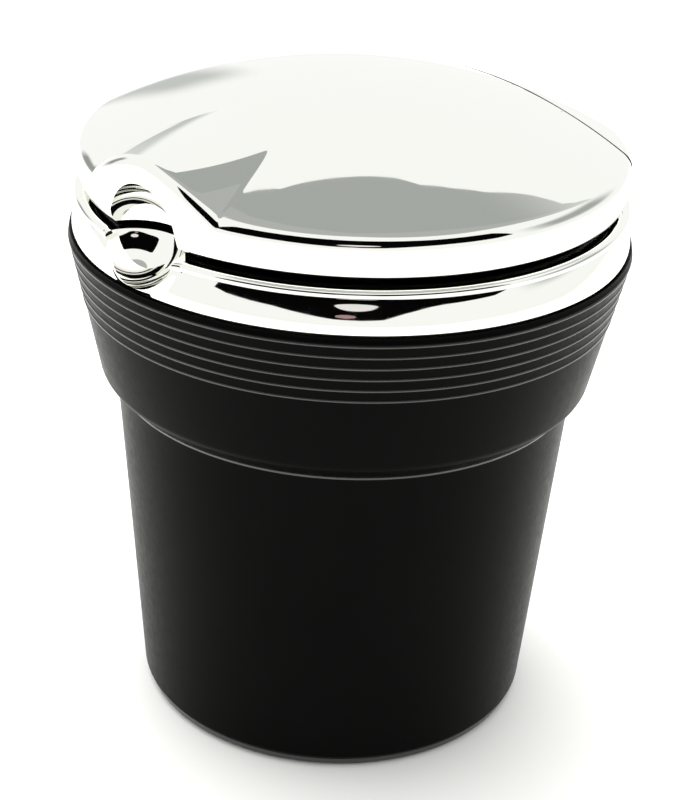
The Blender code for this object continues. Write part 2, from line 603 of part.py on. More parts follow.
def make_lid_inside():
    top = PLATE_BOTTOM + PLATE_THICKNESS
    radius = LID_RADIUS - LID_WALL - 0.0005
    rim_low = RING_TOP + FIT
    plate = turned("lid_plate", [
        (0, top), (radius, top), (radius, rim_low), (radius - 0.0014, rim_low),
        (radius - 0.0014, PLATE_BOTTOM), (0, PLATE_BOTTOM)], BLACK_PLASTIC, STEPS)
    cut(plate, block("plate_trim", (-0.06, HINGE_OUT - PLATE_CHORD, rim_low - 0.002),
                     (0.06, 0.06, top + 0.002)))
    cut(plate, ball("plate_dish_room", DISH_RADIUS + DISH_WALL + LOOSE, DISH_CENTRE))
    for index, (x, y) in enumerate(LID_SCREWS, 1):
        cut(plate, rod(f"plate_screw_hole_{index}", SCREW_RADIUS + LOOSE, (x, y, PLATE_BOTTOM - 0.001),
                       (x, y, top + 0.001)))
    for index, (x, y) in enumerate(CATCHES, 1):
        cut(plate, rod(f"plate_peg_hole_{index}", 0.0008 + FIT, (x, y, PLATE_BOTTOM - 0.001),
                       (x, y, top + 0.001)))
    seal_radius = FUNNEL_RADIUS + FUNNEL_FLANGE - 0.0001
    seal = turned("lid_seal", rounded([
        (seal_radius - 0.0014, PLATE_BOTTOM - FIT), (seal_radius, PLATE_BOTTOM - FIT),
        (seal_radius, FLANGE_TOP + FIT), (seal_radius - 0.0014, FLANGE_TOP + FIT),
    ]), RUBBER, SMALL_STEPS, FUNNEL_CENTRE, ring=True)
    pegs = []
    for side, (x, y) in zip(("left", "right"), CATCHES):
        pegs.append(turned(f"catch_peg_{side}", [
            (0, top - 0.0002), (0.0008, top - 0.0002), (0.0008, PLATE_BOTTOM - FIT),
            (PEG_RADIUS, PLATE_BOTTOM - FIT), (PEG_RADIUS, DECK_TOP + 0.0018),
            (PEG_RADIUS * 0.6, DECK_TOP + 0.0011), (0, DECK_TOP + 0.0011),
        ], STEEL, TINY_STEPS, (x, y, 0)))
    return plate, seal, pegs


def make_deck_fittings():
    sockets, buffers = [], []
    low = DECK_TOP + FIT
    hole = PEG_RADIUS + FIT
    for side, (x, y) in zip(("left", "right"), CATCHES):
        socket = turned(f"catch_socket_{side}", [
            (hole, low + 0.0015), (hole + SOCKET_WALL, low + 0.0015), (hole + SOCKET_WALL, low),
            (hole, low)], STEEL, 16, (x, y, 0), ring=True)
        cut(socket, block(f"socket_split_{side}", (x - 0.0004, y, low - 0.001), (x + 0.0004, y + 0.004, low + 0.003)))
        sockets.append(socket)
    for side, (x, y) in zip(("left", "right"), BUFFERS):
        buffers.append(turned(f"lid_buffer_{side}", rounded([
            (0, PLATE_BOTTOM - FIT), (BUFFER_RADIUS, PLATE_BOTTOM - FIT, 0.0005), (BUFFER_RADIUS, low),
            (0, low)]), RUBBER, TINY_STEPS, (x, y, 0)))
    return sockets, buffers


def screw_fastener(name, seat, upwards):
    """A pan-head screw whose head rests at this point; it points up or down."""
    screw = turned(name, [
        (0, SCREW_HEAD_HEIGHT), (SCREW_HEAD_RADIUS * 0.7, SCREW_HEAD_HEIGHT),
        (SCREW_HEAD_RADIUS, SCREW_HEAD_HEIGHT * 0.45), (SCREW_HEAD_RADIUS, 0), (SCREW_RADIUS, 0),
        (SCREW_RADIUS, 0.0008 - SCREW_LENGTH), (SCREW_RADIUS * 0.4, -SCREW_LENGTH), (0, -SCREW_LENGTH),
    ], STEEL, TINY_STEPS, seat)
    if upwards:
        screw.rotation_euler = (math.pi, 0, 0)
    return screw


for stale in list(bpy.data.objects):
    bpy.data.objects.remove(stale)

PARTS = collection("ashtray_bin")
CUTTERS = collection("cutters")
CHROME = material("chrome-plated ABS", (0.86, 0.87, 0.87), 0.05, 1.0)
BLACK_PLASTIC = material("black moulded PP", (0.012, 0.013, 0.013), 0.32)
HEAT_PLASTIC = material("black phenolic", (0.016, 0.015, 0.014), 0.5)
STEEL = material("stainless steel", (0.6, 0.6, 0.6), 0.3, 1.0)
RUBBER = material("black silicone rubber", (0.02, 0.02, 0.02), 0.75)

# Fastener and catch places, as (x, y).
BRACKET_SCREWS = [(side * 0.0078, HINGE_OUT + 0.0040) for side in (-1, 1)]
COVER_SCREWS = [(side * 0.0178, HINGE_OUT + 0.0030) for side in (-1, 1)]
LID_SCREWS = [(side * (LID_RADIUS - 0.0106), 0.0020) for side in (-1, 1)]
CATCHES = [(side * (DECK_RADIUS - 0.0030) * math.cos(math.radians(41.7)),
            -(DECK_RADIUS - 0.0030) * math.sin(math.radians(41.7))) for side in (-1, 1)]
BUFFERS = [(side * (DECK_RADIUS - 0.0081), HINGE_OUT - 0.0106) for side in (-1, 1)]

cup_pieces = make_cup()
ring_piece, ring_seal = make_ring()
funnel_piece, sleeve_piece = make_funnel()
bracket_piece, pin_piece, clip_piece, bracket_top = make_bracket()
spring_piece = make_spring(bracket_top)
cover_piece = make_cover()
lid_piece = make_lid()
plate_piece, plate_seal, peg_pieces = make_lid_inside()
socket_pieces, buffer_pieces = make_deck_fittings()
bracket_screws = [screw_fastener(f"bracket_screw_{index}", (x, y, bracket_top + FIT), False)
                  for index, (x, y) in enumerate(BRACKET_SCREWS, 1)]
cover_screws = [screw_fastener(f"cover_screw_{index}", (x, y, DECK_BOTTOM - FIT), True)
                for index, (x, y) in enumerate(COVER_SCREWS, 1)]
lid_screws = [screw_fastener(f"lid_screw_{index}", (x, y, PLATE_BOTTOM - FIT), True)
              for index, (x, y) in enumerate(LID_SCREWS, 1)]

top_joint = joint_empty("top_lift_axis", (0, 0, CUP_HEIGHT))
lid_joint = joint_empty("lid_hinge_axis", (0, HINGE_OUT, HINGE_HEIGHT))
hang(top_joint, ring_piece, ring_seal, funnel_piece, sleeve_piece, bracket_piece, pin_piece, clip_piece,
     spring_piece, cover_piece, *socket_pieces, *buffer_pieces, *bracket_screws, *cover_screws, lid_joint)
hang(lid_joint, lid_piece, plate_piece, plate_seal, *peg_pieces, *lid_screws)

for part in PARTS.objects:
    if part.type == "MESH" and part.data.polygons:
        part.data.shade_smooth()
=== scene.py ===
import math

import bpy
import numpy as np
from mathutils import Matrix, Vector


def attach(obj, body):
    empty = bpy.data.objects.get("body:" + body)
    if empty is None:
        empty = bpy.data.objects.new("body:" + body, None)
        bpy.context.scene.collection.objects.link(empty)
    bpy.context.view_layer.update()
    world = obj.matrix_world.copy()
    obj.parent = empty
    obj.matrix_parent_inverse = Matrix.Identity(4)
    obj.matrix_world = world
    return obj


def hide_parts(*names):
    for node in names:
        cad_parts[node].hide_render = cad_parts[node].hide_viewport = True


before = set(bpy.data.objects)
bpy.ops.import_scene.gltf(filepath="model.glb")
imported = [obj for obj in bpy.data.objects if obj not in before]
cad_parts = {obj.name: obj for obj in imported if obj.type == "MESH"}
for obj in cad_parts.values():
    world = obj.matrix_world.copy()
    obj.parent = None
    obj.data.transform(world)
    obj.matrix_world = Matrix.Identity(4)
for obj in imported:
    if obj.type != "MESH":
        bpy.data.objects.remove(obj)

bl_info = {
    "name": "Car ashtray bin",
    "version": (1, 0, 0),
    "blender": (4, 5, 0),
    "location": "View3D > Sidebar > Ashtray",
    "description": "Builds the looks of a car ashtray: black cup, chrome ring and domed flip lid",
    "category": "Object",
}

MM = 0.001
HINGE_Y = 22.9               # hinge axis, behind the cup's axis, mm
HINGE_Z = 91.257             # hinge axis above the table, mm
DISH_CENTRE = (0.0, -39.9, 82.2)
FRONT = -math.pi / 2         # the thumb dish's direction round the cup


class LidShape(bpy.types.PropertyGroup):
    dome_radius: bpy.props.FloatProperty(
        name="Dome radius", description="Radius of the domed top, mm", default=87.69)
    dome_top: bpy.props.FloatProperty(
        name="Dome top", description="Height of the dome above the table, mm", default=96.5)
    side_radius: bpy.props.FloatProperty(
        name="Side radius", description="Radius of the upright side, mm", default=39.1)
    edge_radius: bpy.props.FloatProperty(
        name="Edge radius", description="Radius of the lower edge, mm", default=38.25)
    low: bpy.props.FloatProperty(name="Lower edge", description="Height of the lower edge, mm", default=81.95)
    shoulder: bpy.props.FloatProperty(
        name="Shoulder", description="Reach of the rounding between side and dome, mm", default=1.5)
    wall: bpy.props.FloatProperty(name="Wall", description="Thickness of the moulding, mm", default=1.8)
    tongue_tip: bpy.props.FloatProperty(
        name="Tongue tip", description="Where the hump over the dish runs out, in front of the axis, mm",
        default=15.7)
    tongue_spread: bpy.props.FloatProperty(
        name="Tongue spread", description="How fast the hump widens towards the dish, mm", default=8.65)
    dish_radius: bpy.props.FloatProperty(
        name="Dish radius", description="Radius of the thumb dish, mm", default=6.9)


class RingShape(bpy.types.PropertyGroup):
    radius: bpy.props.FloatProperty(name="Radius", description="Radius at the foot, mm", default=39.98)
    top: bpy.props.FloatProperty(name="Top", description="Height of the upper edge, mm", default=80.8)
    bottom: bpy.props.FloatProperty(name="Bottom", description="Height of the foot, mm", default=74.9)
    bead: bpy.props.FloatProperty(name="Bead", description="Radius of the upper bead, mm", default=39.6)
    neck: bpy.props.FloatProperty(
        name="Neck", description="Radius of the groove under the bead, mm", default=38.85)
    lip_rise: bpy.props.FloatProperty(
        name="Lip rise", description="Height of the rim round the thumb dish, mm", default=0.45)


class CupShape(bpy.types.PropertyGroup):
    lip_radius: bpy.props.FloatProperty(
        name="Lip radius", description="Radius of the cup's lip, mm", default=40.62)
    lip_height: bpy.props.FloatProperty(name="Lip height", description="Height of the lip, mm", default=74.6)
    collar_radius: bpy.props.FloatProperty(
        name="Collar radius", description="Radius at the collar's lower corner, mm", default=36.1)
    collar_low: bpy.props.FloatProperty(
        name="Collar corner", description="Height of the collar's lower corner, mm", default=53.4)
    wall_radius: bpy.props.FloatProperty(
        name="Wall radius", description="Radius of the wall under the collar, mm", default=33.5)
    base_radius: bpy.props.FloatProperty(
        name="Base radius", description="Radius at the foot, mm", default=29.4)
    rib_count: bpy.props.IntProperty(name="Ribs", description="Raised lines round the collar", default=6)
    rib_pitch: bpy.props.FloatProperty(
        name="Rib pitch", description="Distance between the raised lines, mm", default=1.72)


class StudioSetup(bpy.types.PropertyGroup):
    lens: bpy.props.FloatProperty(name="Lens", description="Focal length, mm", default=100.5)
    camera_at: bpy.props.FloatVectorProperty(
        name="Camera", description="Camera position", default=(0.18140, -0.18471, 0.17462), unit="LENGTH")
    target: bpy.props.FloatVectorProperty(
        name="Target", description="Point the camera looks at", default=(0.0, 0.0, 0.04596), unit="LENGTH")
    roll: bpy.props.FloatProperty(
        name="Roll", description="Camera roll, radians", default=math.radians(2.62), unit="ROTATION")


# ---------------------------------------------------------------- materials

def linear(hex_colour):
    """An sRGB hex colour as linear RGBA."""
    values = [int(hex_colour[i:i + 2], 16) / 255 for i in (1, 3, 5)]
    return (*[v / 12.92 if v <= 0.04045 else ((v + 0.055) / 1.055) ** 2.4 for v in values], 1.0)


def add(tree, kind, at, links=None, **settings):
    """Adds one node; a setting that names an input socket sets its value."""
    node = tree.nodes.new(kind)
    node.location = at
    for key, value in settings.items():
        if hasattr(node, key):
            setattr(node, key, value)
        else:
            node.inputs[key.replace("_", " ")].default_value = value
    for socket, source in (links or {}).items():
        tree.links.new(source, node.inputs[socket])
    return node


def new_material(name, colour, roughness, metallic=0.0, specular=0.5):
    made = bpy.data.materials.new(name)
    made.use_nodes = True
    tree = made.node_tree
    shader = tree.nodes["Principled BSDF"]
    shader.inputs["Base Color"].default_value = linear(colour)
    shader.inputs["Roughness"].default_value = roughness
    shader.inputs["Metallic"].default_value = metallic
    shader.inputs["Specular IOR Level"].default_value = specular
    coords = add(tree, "ShaderNodeTexCoord", (-1100, 0))
    return made, tree, shader, coords.outputs["Object"]


def chrome_plated_abs():
    """Decorative chrome over moulded ABS: a mirror, in which the moulding's slight waviness shows."""
    made, tree, shader, coords = new_material("chrome-plated ABS", "#F7F8F2", 0.03, 1.0)
    # a faint haze in patches about 2.4 mm wide, as wiping leaves
    haze = add(tree, "ShaderNodeTexNoise", (-800, -150), {"Vector": coords}, Scale=1 / (2.381 * MM),
               Detail=3.0)
    spread = add(tree, "ShaderNodeMapRange", (-600, -150), {"Value": haze.outputs["Fac"]},
                 From_Min=0.3, From_Max=0.7, To_Min=0.018, To_Max=0.05)
    tree.links.new(spread.outputs["Result"], shader.inputs["Roughness"])
    # the moulding under the plating waves about every 13 mm
    wave = add(tree, "ShaderNodeTexNoise", (-800, -400), {"Vector": coords}, Scale=1 / (13.333 * MM),
               Detail=1.0)
    bump = add(tree, "ShaderNodeBump", (-300, -400), {"Height": wave.outputs["Fac"]},
               Distance=0.02 * MM, Strength=0.5)
    tree.links.new(bump.outputs["Normal"], shader.inputs["Normal"])
    return made


def moulded_pp():
    """Satin black polypropylene from a fine-etched mould: a soft sheen that breaks up in a faint grain."""
    made, tree, shader, coords = new_material("moulded black PP", "#050605", 0.33, specular=0.03)
    # the sheen varies over about 1.1 mm
    sheen = add(tree, "ShaderNodeTexNoise", (-800, -150), {"Vector": coords}, Scale=1 / (1.1111 * MM),
                Detail=3.0)
    spread = add(tree, "ShaderNodeMapRange", (-600, -150), {"Value": sheen.outputs["Fac"]},
                 From_Min=0.3, From_Max=0.7, To_Min=0.29, To_Max=0.38)
    tree.links.new(spread.outputs["Result"], shader.inputs["Roughness"])
    # etched grain, drawn at 0.19 mm, about the finest that shows
    grain = add(tree, "ShaderNodeTexNoise", (-800, -400), {"Vector": coords}, Scale=1 / (0.19231 * MM),
                Detail=2.0)
    bump = add(tree, "ShaderNodeBump", (-300, -400), {"Height": grain.outputs["Fac"]},
               Distance=0.012 * MM, Strength=0.55)
    tree.links.new(bump.outputs["Normal"], shader.inputs["Normal"])
    # the black itself drifts over about 17 mm, with the flow of the moulding
    tone = add(tree, "ShaderNodeTexNoise", (-800, 200), {"Vector": coords}, Scale=1 / (16.667 * MM),
               Detail=2.0)
    ramp = add(tree, "ShaderNodeValToRGB", (-550, 200), {"Fac": tone.outputs["Fac"]})
    ramp.color_ramp.elements[0].color = linear("#030403")
    ramp.color_ramp.elements[1].color = linear("#060706")
    tree.links.new(ramp.outputs["Color"], shader.inputs["Base Color"])
    return made


def pp_painted_highlight():
    """A lighter, glossier copy of the same polypropylene, as a painted highlight on raised lines and edges.
    """
    made, tree, shader, coords = new_material("black PP, painted highlight", "#0A0C0B", 0.22, specular=0.9)
    # the same 1.1 mm variation as the satin skin
    sheen = add(tree, "ShaderNodeTexNoise", (-800, -150), {"Vector": coords}, Scale=1 / (1.1111 * MM),
                Detail=3.0)
    spread = add(tree, "ShaderNodeMapRange", (-600, -150), {"Value": sheen.outputs["Fac"]},
                 From_Min=0.3, From_Max=0.7, To_Min=0.18, To_Max=0.28)
    tree.links.new(spread.outputs["Result"], shader.inputs["Roughness"])
    return made


def phenolic():
    """Heat-proof phenolic: a duller, slightly brown black with a pressed, sandy skin."""
    made, tree, shader, coords = new_material("pressed phenolic", "#1B1918", 0.5, specular=0.4)
    # cured skin, uneven over about 1.4 mm
    sheen = add(tree, "ShaderNodeTexNoise", (-800, -150), {"Vector": coords}, Scale=1 / (1.4286 * MM),
                Detail=3.0)
    spread = add(tree, "ShaderNodeMapRange", (-600, -150), {"Value": sheen.outputs["Fac"]},
                 From_Min=0.3, From_Max=0.7, To_Min=0.42, To_Max=0.6)
    tree.links.new(spread.outputs["Result"], shader.inputs["Roughness"])
    # filler grain, drawn at 0.38 mm, coarse enough to show
    grain = add(tree, "ShaderNodeTexVoronoi", (-800, -400), {"Vector": coords}, Scale=1 / (0.38462 * MM))
    bump = add(tree, "ShaderNodeBump", (-300, -400), {"Height": grain.outputs["Distance"]},
               Distance=0.02 * MM, Strength=0.5)
    tree.links.new(bump.outputs["Normal"], shader.inputs["Normal"])
    return made


def drawn_steel():
    """Deep-drawn stainless steel: fine lines round the axis where it was drawn and polished."""
    made, tree, shader, coords = new_material("drawn stainless steel", "#C9C9C6", 0.26, 1.0)
    # lines 0.19 mm apart up the wall, about the finest that shows; each fades over 17 mm
    split = add(tree, "ShaderNodeMapping", (-950, -250), {"Vector": coords},
                Scale=(1 / (16.667 * MM), 1 / (16.667 * MM), 1 / (0.19231 * MM)))
    lines = add(tree, "ShaderNodeTexNoise", (-750, -250), {"Vector": split.outputs["Vector"]},
                Scale=1.0, Detail=2.0)
    spread = add(tree, "ShaderNodeMapRange", (-520, -150), {"Value": lines.outputs["Fac"]},
                 To_Min=0.2, To_Max=0.38)
    tree.links.new(spread.outputs["Result"], shader.inputs["Roughness"])
    bump = add(tree, "ShaderNodeBump", (-300, -400), {"Height": lines.outputs["Fac"]},
               Distance=0.01 * MM, Strength=0.4)
    tree.links.new(bump.outputs["Normal"], shader.inputs["Normal"])
    return made


def bright_steel():
    """Plated fastener and spring steel: bright, with a little uneven dulling from handling."""
    made, tree, shader, coords = new_material("zinc-plated steel", "#BDBFBE", 0.3, 1.0)
    # the dulling comes in patches of about 1.25 mm
    dulling = add(tree, "ShaderNodeTexNoise", (-800, -150), {"Vector": coords}, Scale=1 / (1.25 * MM),
                  Detail=3.0)
    spread = add(tree, "ShaderNodeMapRange", (-600, -150), {"Value": dulling.outputs["Fac"]},
                 From_Min=0.3, From_Max=0.7, To_Min=0.22, To_Max=0.4)
    tree.links.new(spread.outputs["Result"], shader.inputs["Roughness"])
    return made


def silicone():
    """Black silicone rubber: deep, soft and dull, with a faint bloom of dust."""
    made, tree, shader, coords = new_material("black silicone rubber", "#171717", 0.75, specular=0.3)
    # dust gathers in patches of about 3.3 mm
    bloom = add(tree, "ShaderNodeTexNoise", (-800, -150), {"Vector": coords}, Scale=1 / (3.3333 * MM),
                Detail=3.0)
    spread = add(tree, "ShaderNodeMapRange", (-600, -150), {"Value": bloom.outputs["Fac"]},
                 From_Min=0.3, From_Max=0.7, To_Min=0.66, To_Max=0.85)
    tree.links.new(spread.outputs["Result"], shader.inputs["Roughness"])
    # the skin's grain, drawn at 0.33 mm, coarse enough to show
    grain = add(tree, "ShaderNodeTexNoise", (-800, -400), {"Vector": coords}, Scale=1 / (0.33333 * MM),
                Detail=3.0)
    bump = add(tree, "ShaderNodeBump", (-300, -400), {"Height": grain.outputs["Fac"]},
               Distance=0.02 * MM, Strength=0.6)
    tree.links.new(bump.outputs["Normal"], shader.inputs["Normal"])
    return made


MATERIALS = {}


def finish_for(slot):
    makers = {"chrome_plate": chrome_plated_abs, "black_plastic": moulded_pp, "painted_highlight": pp_painted_highlight,
              "heat_plastic": phenolic,
              "drawn": drawn_steel, "steel": bright_steel, "rubber": silicone}
    if slot not in MATERIALS:
        MATERIALS[slot] = makers[slot]()
    return MATERIALS[slot]


# ---------------------------------------------------------------- mesh helpers

def angles_round(fine=0.45, coarse=1.5, reach=26.0):
    """Angles round the axis in radians, closer together near the thumb dish."""
    steps = []
    degree = -reach
    while degree < reach - 1e-6:
        steps.append(degree)
        degree += fine
    rest = int(round((360 - 2 * reach) / coarse))
    steps += [reach + (360 - 2 * reach) * i / rest for i in range(rest)]
    return np.radians(np.array(steps)) + FRONT


def dense(points, longest):
    """Adds points so that no straight stretch of a profile is longer than this."""
    made = [points[0]]
    for start, end in zip(points, points[1:]):
        count = max(1, int(math.ceil(math.dist(start, end) / longest)))
        made += [tuple(a + (b - a) * i / count for a, b in zip(start, end)) for i in range(1, count + 1)]
    return made


def fillet(profile, steps=6):
    """Rounds each corner of a profile whose third number is a radius."""
    made = []
    for i, point in enumerate(profile):
        if len(point) == 2 or not point[2]:
            made.append(point[:2])
            continue
        corner = Vector(point[:2])
        before = (Vector(profile[i - 1][:2]) - corner).normalized()
        after = (Vector(profile[(i + 1) % len(profile)][:2]) - corner).normalized()
        half = before.angle(after) / 2
        centre = corner + (before + after).normalized() * point[2] / math.sin(half)
        arm = corner + before * point[2] / math.tan(half) - centre
        turn = (math.pi - 2 * half) * (1 if arm.cross(after) > 0 else -1)
        for step in range(steps + 1):
            a = turn * step / steps
            made.append((centre.x + arm.x * math.cos(a) - arm.y * math.sin(a),
                         centre.y + arm.x * math.sin(a) + arm.y * math.cos(a)))
    return made


def grid_mesh(name, rings, first_pole=False, last_pole=False, closed=False):
    """Joins rings of points into a skin; a pole closes an end, closed joins the last ring to the first."""
    count = len(rings[0])
    verts, starts = [], []
    for i, ring in enumerate(rings):
        starts.append(len(verts))
        if (i == 0 and first_pole) or (i == len(rings) - 1 and last_pole):
            verts.append(tuple(np.mean(ring, axis=0)))
        else:
            verts += [tuple(p) for p in ring]
    faces = []
    pairs = [(i, i + 1) for i in range(len(rings) - 1)] + ([(len(rings) - 1, 0)] if closed else [])
    for i, j in pairs:
        for k in range(count):
            n = (k + 1) % count
            if i == 0 and first_pole:
                faces.append((starts[0], starts[j] + k, starts[j] + n))
            elif j == len(rings) - 1 and last_pole:
                faces.append((starts[i] + k, starts[j], starts[i] + n))
            else:
                faces.append((starts[i] + k, starts[j] + k, starts[j] + n, starts[i] + n))
    mesh = bpy.data.meshes.new(name)
    mesh.from_pydata([(x * MM, y * MM, z * MM) for x, y, z in verts], [], faces)
    mesh.validate()
    return mesh


def lathe(name, profile, angles=None, at=(0.0, 0.0), warp=None, closed=False):
    """A turned skin from (radius, height) in mm, down the outside; warp may move its points."""
    angles = np.radians(np.arange(0, 360, 1.5)) if angles is None else angles
    cos, sin = np.cos(angles), np.sin(angles)
    rings = []
    for r, z in profile:
        ring = np.stack([at[0] + r * cos, at[1] + r * sin, np.full(len(angles), float(z))], axis=1)
        rings.append(warp(ring) if warp is not None and r > 0.01 else ring)
    mesh = grid_mesh(name, rings, profile[0][0] < 1e-6, profile[-1][0] < 1e-6, closed)
    return link(name, mesh)


def link(name, mesh):
    obj = bpy.data.objects.new(name, mesh)
    bpy.context.scene.collection.objects.link(obj)
    return obj


def ball(name, centre, radius, segments=128, rings=64):
    steps = [math.pi * i / rings for i in range(rings + 1)]
    profile = [(radius * math.sin(a), radius * math.cos(a)) for a in steps]
    profile[0], profile[-1] = (0.0, radius), (0.0, -radius)
    obj = lathe(name, profile, np.radians(np.arange(segments) * 360 / segments))
    obj.data.transform(Matrix.Translation(Vector(centre) * MM))
    return obj


def rod(name, radius, start, end, segments=48):
    """A closed round bar between two points, in mm."""
    start, end = Vector(start), Vector(end)
    length = (end - start).length
    obj = lathe(name, [(0.0, length), (radius, length), (radius, 0.0), (0.0, 0.0)],
                np.radians(np.arange(segments) * 360 / segments))
    turn = (end - start).to_track_quat("Z", "Y").to_matrix().to_4x4()
    obj.data.transform(Matrix.Translation(start * MM) @ turn)
    return obj


def block(name, low, high):
    x0, y0, z0 = low
    x1, y1, z1 = high
    ring = [(x0, y0), (x1, y0), (x1, y1), (x0, y1)]
    verts = [(x * MM, y * MM, z0 * MM) for x, y in ring] + [(x * MM, y * MM, z1 * MM) for x, y in ring]
    faces = [(3, 2, 1, 0), (4, 5, 6, 7)] + [(i, (i + 1) % 4, (i + 1) % 4 + 4, i + 4) for i in range(4)]
    mesh = bpy.data.meshes.new(name)
    mesh.from_pydata(verts, [], faces)
    return link(name, mesh)


def plain(obj):
    """Applies an object's modifiers, leaving a plain mesh."""
    bpy.context.view_layer.update()
    evaluated = obj.evaluated_get(bpy.context.evaluated_depsgraph_get())
    mesh = bpy.data.meshes.new_from_object(evaluated)
    obj.modifiers.clear()
    old = obj.data
    obj.data = mesh
    bpy.data.meshes.remove(old)
    return obj


def combine(obj, others, operation):
    """Cuts or joins with other objects, which are used up."""
    for other in others:
        boolean = obj.modifiers.new("Boolean", "BOOLEAN")
        boolean.object = other
        boolean.operation = operation
        boolean.solver = "EXACT"
    plain(obj)
    for other in others:
        mesh = other.data
        bpy.data.objects.remove(other)
        bpy.data.meshes.remove(mesh)
    return obj


def cut(obj, *others):
    return combine(obj, others, "DIFFERENCE")


def join(obj, *others):
    return combine(obj, others, "UNION")


def done(obj, body, slot, *nodes, sharp=30.0, finish=None):
    """Shades a finished piece, gives it its material and lets it ride on its body."""
    obj.data.materials.clear()
    obj.data.materials.append(finish_for(finish or slot))
    obj.data.shade_smooth()
    obj.data.set_sharp_from_angle(angle=math.radians(sharp))
    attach(obj, body)
    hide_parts(*nodes)
    return obj


# ---------------------------------------------------------------- shapes

def dome(shape, r):
    return shape.dome_top - shape.dome_radius + np.sqrt(shape.dome_radius ** 2 - np.minimum(r, 60.0) ** 2)


def lid_top(shape, x, y):
    """Height of the lid's upper surface: the dome, with the tongue-shaped hump over the dish."""
    base = dome(shape, np.hypot(x, y))
    run = np.maximum(-shape.tongue_tip - y, 0.0)
    tip_slope = shape.tongue_tip / math.sqrt(shape.dome_radius ** 2 - shape.tongue_tip ** 2)
    ridge = dome(shape, shape.tongue_tip) - tip_slope * run + 0.0026 * run ** 2
    half = np.sqrt(shape.tongue_spread * run + 0.01) * (1 - 0.0038 * run)
    drop = ridge - dome(shape, np.hypot(half, y))
    power = 3.5 - 0.075 * run
    hump = ridge - drop * (np.abs(x) / half) ** power
    # The two surfaces meet in a soft crease.
    soft = 0.05
    lift = np.where(y < -shape.tongue_tip, (base + hump + np.sqrt((base - hump) ** 2 + soft ** 2)) / 2, base)
    return lift


def lid_skin(shape):
    """The lid's outer skin closed underneath, as rings from the top of the dome down."""
    angles = angles_round()
    cos, sin = np.cos(angles), np.sin(angles)
    reach = shape.side_radius - shape.shoulder
    radii = np.concatenate([[0.0], np.linspace(1.0, 13.0, 10), np.linspace(13.6, reach, 48)])
    rings = []
    for r in radii:
        x, y = r * cos, r * sin
        rings.append(np.stack([x, y, lid_top(shape, x, y)], axis=1))
    x, y = reach * cos, reach * sin
    start = np.stack([np.full(len(angles), reach), lid_top(shape, x, y)], axis=1)
    x, y = shape.side_radius * cos, shape.side_radius * sin
    corner_z = lid_top(shape, x, y)
    rise = np.maximum(corner_z - dome(shape, shape.side_radius), 0.0)
    lean = shape.side_radius - 0.10 * rise
    corner = np.stack([lean, corner_z], axis=1)
    end = np.stack([lean + 0.03, corner_z - 1.75], axis=1)
    for step in range(1, 9):
        t = step / 8
        point = start * (1 - t) ** 2 + corner * 2 * t * (1 - t) + end * t ** 2
        rings.append(np.stack([point[:, 0] * cos, point[:, 0] * sin, point[:, 1]], axis=1))
    side = [(shape.side_radius, shape.low + 1.75), (shape.side_radius - 0.06, shape.low + 1.6),
            (shape.side_radius - 0.10, shape.low + 1.45), (shape.side_radius - 0.22, shape.low + 0.9),
            (shape.side_radius - 0.42, shape.low + 0.35), (shape.edge_radius + 0.12, shape.low + 0.06),
            (shape.edge_radius, shape.low)]
    for share in np.linspace(0.12, 1.0, 9):
        r = end[:, 0] + (side[0][0] - end[:, 0]) * share
        z = end[:, 1] + (side[0][1] - end[:, 1]) * share
        rings.append(np.stack([r * cos, r * sin, z], axis=1))
    for r, z in side[1:]:
        rings.append(np.stack([r * cos, r * sin, np.full(len(angles), z)], axis=1))
    rings.append(np.stack([0 * cos, 0 * sin, np.full(len(angles), shape.low)], axis=1))
    return grid_mesh("lid_skin", rings, True, True)


def hollow(shape, name, low):
    radius = shape.side_radius - shape.wall
    arc = [(float(r), float(dome(shape, r)) - shape.wall * 1.03) for r in np.linspace(0, radius, 24)]
    return lathe(name, arc + [(radius, low), (0.0, low)])


def roll(shape, name, clearance):
    """The spindle-shaped roll of the lid's rear edge round the hinge axis."""
    back = HINGE_Y + 1.1
    end_radius = math.sqrt(shape.dome_radius ** 2 - (HINGE_Z - shape.dome_top + shape.dome_radius) ** 2)
    end = math.sqrt(end_radius ** 2 - back ** 2)
    profile = [(0.0, end + clearance)]
    for share in np.linspace(1, -1, 41):
        x = end * math.sin(math.pi / 2 * share)
        over_axis = float(dome(shape, math.hypot(HINGE_Y, x))) - HINGE_Z
        over_edge = max(float(dome(shape, math.hypot(back, x))) - HINGE_Z, 0)
        stretch = clearance if share == 1 else -clearance if share == -1 else 0.0
        profile.append((max(over_axis, math.hypot(1.1, over_edge)) + clearance, x + stretch))
    profile.append((0.0, -end - clearance))
    obj = lathe(name, profile, np.radians(np.arange(0, 360, 4.0)))
    turn = Matrix.Rotation(math.pi / 2, 4, "Y")
    obj.data.transform(Matrix.Translation(Vector((0, HINGE_Y, HINGE_Z)) * MM) @ turn)
    return obj


